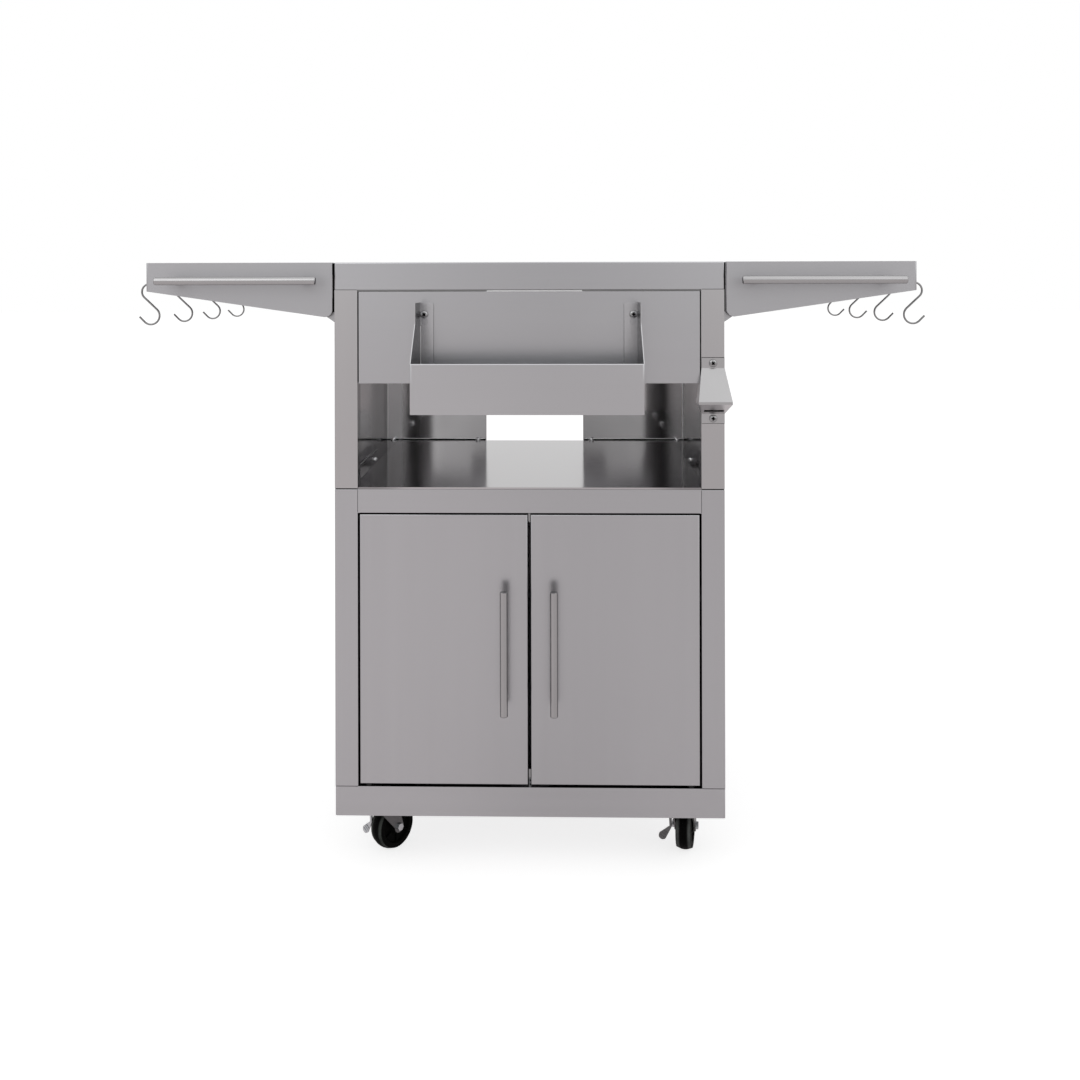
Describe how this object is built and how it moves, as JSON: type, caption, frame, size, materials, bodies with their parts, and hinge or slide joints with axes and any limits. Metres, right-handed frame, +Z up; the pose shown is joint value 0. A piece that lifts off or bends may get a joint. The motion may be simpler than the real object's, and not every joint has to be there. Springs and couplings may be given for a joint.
{
  "type": "kamado grill cart",
  "caption": "Stainless steel kamado grill cart with a round top opening, folding side shelves with towel bars and hooks, a hang-on front tray, a cabinet with hinged doors, and swivel casters",
  "frame": {"origin": "on the floor under the middle of the whole part's box", "axes": "+X to the right seen from the door side, +Y to the back, +Z up"},
  "size_m": [1.2508, 0.75, 0.95],
  "materials": {
    "brushed_stainless": "fine brushed grain",
    "polished_deck": "near mirror polish",
    "satin_bar": "satin round bar",
    "zinc_plate": "bright zinc plate",
    "black_tyre": "black tread",
    "screw_steel": "plain machine screw",
    "cast_opener": "satin cast metal",
    "hook_wire": "polished wire"
  },
  "bodies": {
    "cart_body": {"base_pan": "brushed_stainless", "left_base_channel": "zinc_plate", "right_base_channel": "zinc_plate", "left_cabinet_side": "brushed_stainless", "right_cabinet_side": "brushed_stainless", "cabinet_back": "brushed_stainless", "front_rail": "brushed_stainless", "kamado_deck": "polished_deck", "upper_door_catch": "zinc_plate", "lower_door_catch": "zinc_plate", "door_hinge_pins": "screw_steel", "left_upper_side": "brushed_stainless", "right_upper_side": "brushed_stainless", "left_rear_panel": "brushed_stainless", "right_rear_panel": "brushed_stainless", "upper_front_panel": "brushed_stainless", "top_frame": "brushed_stainless", "bottle_opener": "cast_opener", "opener_screws": "screw_steel", "tray_screws": "screw_steel", "deck_screws": "screw_steel", "left_shelf_brackets": "zinc_plate", "right_shelf_brackets": "zinc_plate", "shelf_hinge_pins": "screw_steel", "caster_plates": "zinc_plate", "caster_bolts": "screw_steel"},
    "left_door": {"left_door_skin": "brushed_stainless", "left_door_liner": "brushed_stainless", "left_door_handle": "satin_bar"},
    "left_side_shelf": {"left_shelf": "brushed_stainless", "left_towel_bar": "satin_bar"},
    "left_hook_1": {"left_hook_1": "hook_wire"},
    "left_hook_2": {"left_hook_2": "hook_wire"},
    "left_hook_3": {"left_hook_3": "hook_wire"},
    "left_hook_4": {"left_hook_4": "hook_wire"},
    "right_door": {"right_door_skin": "brushed_stainless", "right_door_liner": "brushed_stainless", "right_door_handle": "satin_bar"},
    "right_side_shelf": {"right_shelf": "brushed_stainless", "right_towel_bar": "satin_bar"},
    "right_hook_1": {"right_hook_1": "hook_wire"},
    "right_hook_2": {"right_hook_2": "hook_wire"},
    "right_hook_3": {"right_hook_3": "hook_wire"},
    "right_hook_4": {"right_hook_4": "hook_wire"},
    "hanging_tray": {"front_tray": "brushed_stainless"},
    "front_left_caster": {"front_left_fork": "zinc_plate", "front_left_axle": "screw_steel"},
    "front_left_roller": {"front_left_wheel": "black_tyre"},
    "front_left_brake": {"front_left_brake_lever": "zinc_plate"},
    "front_right_caster": {"front_right_fork": "zinc_plate", "front_right_axle": "screw_steel"},
    "front_right_roller": {"front_right_wheel": "black_tyre"},
    "front_right_brake": {"front_right_brake_lever": "zinc_plate"},
    "rear_left_caster": {"rear_left_fork": "zinc_plate", "rear_left_axle": "screw_steel"},
    "rear_left_roller": {"rear_left_wheel": "black_tyre"},
    "rear_right_caster": {"rear_right_fork": "zinc_plate", "rear_right_axle": "screw_steel"},
    "rear_right_roller": {"rear_right_wheel": "black_tyre"}
  },
  "joints": [
    {"name": "left_door_swing", "type": "hinge", "parent": "cart_body", "child": "left_door", "pos_m": [-0.253, -0.226, 0.3435], "axis": [0, 0, -1], "range_deg": [0, 110]},
    {"name": "left_shelf_fold", "type": "hinge", "parent": "cart_body", "child": "left_side_shelf", "pos_m": [-0.321, 0.07, 0.876], "axis": [0, -1, 0], "range_deg": [0, 90]},
    {"name": "left_hook_1_swing", "type": "hinge", "parent": "left_side_shelf", "child": "left_hook_1", "pos_m": [-0.608, -0.2015, 0.9044], "axis": [0, -1, 0], "range_deg": [-90, 0]},
    {"name": "left_hook_2_swing", "type": "hinge", "parent": "left_side_shelf", "child": "left_hook_2", "pos_m": [-0.608, -0.0205, 0.9044], "axis": [0, -1, 0], "range_deg": [-90, 0]},
    {"name": "left_hook_3_swing", "type": "hinge", "parent": "left_side_shelf", "child": "left_hook_3", "pos_m": [-0.608, 0.1605, 0.9044], "axis": [0, -1, 0], "range_deg": [-90, 0]},
    {"name": "left_hook_4_swing", "type": "hinge", "parent": "left_side_shelf", "child": "left_hook_4", "pos_m": [-0.608, 0.3415, 0.9044], "axis": [0, -1, 0], "range_deg": [-90, 0]},
    {"name": "right_door_swing", "type": "hinge", "parent": "cart_body", "child": "right_door", "pos_m": [0.253, -0.226, 0.3435], "axis": [0, 0, 1], "range_deg": [0, 110]},
    {"name": "right_shelf_fold", "type": "hinge", "parent": "cart_body", "child": "right_side_shelf", "pos_m": [0.321, 0.07, 0.876], "axis": [0, 1, 0], "range_deg": [0, 90]},
    {"name": "right_hook_1_swing", "type": "hinge", "parent": "right_side_shelf", "child": "right_hook_1", "pos_m": [0.608, -0.2015, 0.9044], "axis": [0, 1, 0], "range_deg": [-90, 0]},
    {"name": "right_hook_2_swing", "type": "hinge", "parent": "right_side_shelf", "child": "right_hook_2", "pos_m": [0.608, -0.0205, 0.9044], "axis": [0, 1, 0], "range_deg": [-90, 0]},
    {"name": "right_hook_3_swing", "type": "hinge", "parent": "right_side_shelf", "child": "right_hook_3", "pos_m": [0.608, 0.1605, 0.9044], "axis": [0, 1, 0], "range_deg": [-90, 0]},
    {"name": "right_hook_4_swing", "type": "hinge", "parent": "right_side_shelf", "child": "right_hook_4", "pos_m": [0.608, 0.3415, 0.9044], "axis": [0, 1, 0], "range_deg": [-90, 0]},
    {"name": "tray_lift", "type": "slide", "parent": "cart_body", "child": "hanging_tray", "axis": [0, 0, 1], "range_m": [0, 0.011]},
    {"name": "front_left_swivel", "type": "hinge", "parent": "cart_body", "child": "front_left_caster", "pos_m": [-0.245, -0.183, 0.092], "axis": [0, 0, 1], "continuous": true},
    {"name": "front_left_roll", "type": "hinge", "parent": "front_left_caster", "child": "front_left_roller", "pos_m": [-0.22572, -0.16002, 0.0375], "axis": [0.766, -0.6428, 0], "continuous": true},
    {"name": "front_left_brake_press", "type": "hinge", "parent": "front_left_caster", "child": "front_left_brake", "pos_m": [-0.25633, -0.16305, 0.062], "axis": [-0.6428, -0.766, 0], "range_deg": [0, 12]},
    {"name": "front_right_swivel", "type": "hinge", "parent": "cart_body", "child": "front_right_caster", "pos_m": [0.245, -0.183, 0.092], "axis": [0, 0, 1], "continuous": true},
    {"name": "front_right_roll", "type": "hinge", "parent": "front_right_caster", "child": "front_right_roller", "pos_m": [0.25124, -0.15366, 0.0375], "axis": [0.9781, -0.2079, 0], "continuous": true},
    {"name": "front_right_brake_press", "type": "hinge", "parent": "front_right_caster", "child": "front_right_brake", "pos_m": [0.22563, -0.1707, 0.062], "axis": [-0.2079, -0.9781, 0], "range_deg": [0, 12]},
    {"name": "rear_left_swivel", "type": "hinge", "parent": "cart_body", "child": "rear_left_caster", "pos_m": [-0.245, 0.323, 0.092], "axis": [0, 0, 1], "continuous": true},
    {"name": "rear_left_roll", "type": "hinge", "parent": "rear_left_caster", "child": "rear_left_roller", "pos_m": [-0.26, 0.29702, 0.0375], "axis": [-0.866, 0.5, 0], "continuous": true},
    {"name": "rear_right_swivel", "type": "hinge", "parent": "cart_body", "child": "rear_right_caster", "pos_m": [0.245, 0.323, 0.092], "axis": [0, 0, 1], "continuous": true},
    {"name": "rear_right_roll", "type": "hinge", "parent": "rear_right_caster", "child": "rear_right_roller", "pos_m": [0.23876, 0.29366, 0.0375], "axis": [-0.9781, 0.2079, 0], "continuous": true}
  ],
  "couplings": [
    {"joint": "left_hook_1_swing", "follows": "left_shelf_fold", "ratio": -1},
    {"joint": "left_hook_2_swing", "follows": "left_shelf_fold", "ratio": -1},
    {"joint": "left_hook_3_swing", "follows": "left_shelf_fold", "ratio": -1},
    {"joint": "left_hook_4_swing", "follows": "left_shelf_fold", "ratio": -1},
    {"joint": "right_hook_1_swing", "follows": "right_shelf_fold", "ratio": -1},
    {"joint": "right_hook_2_swing", "follows": "right_shelf_fold", "ratio": -1},
    {"joint": "right_hook_3_swing", "follows": "right_shelf_fold", "ratio": -1},
    {"joint": "right_hook_4_swing", "follows": "right_shelf_fold", "ratio": -1}
  ]
}
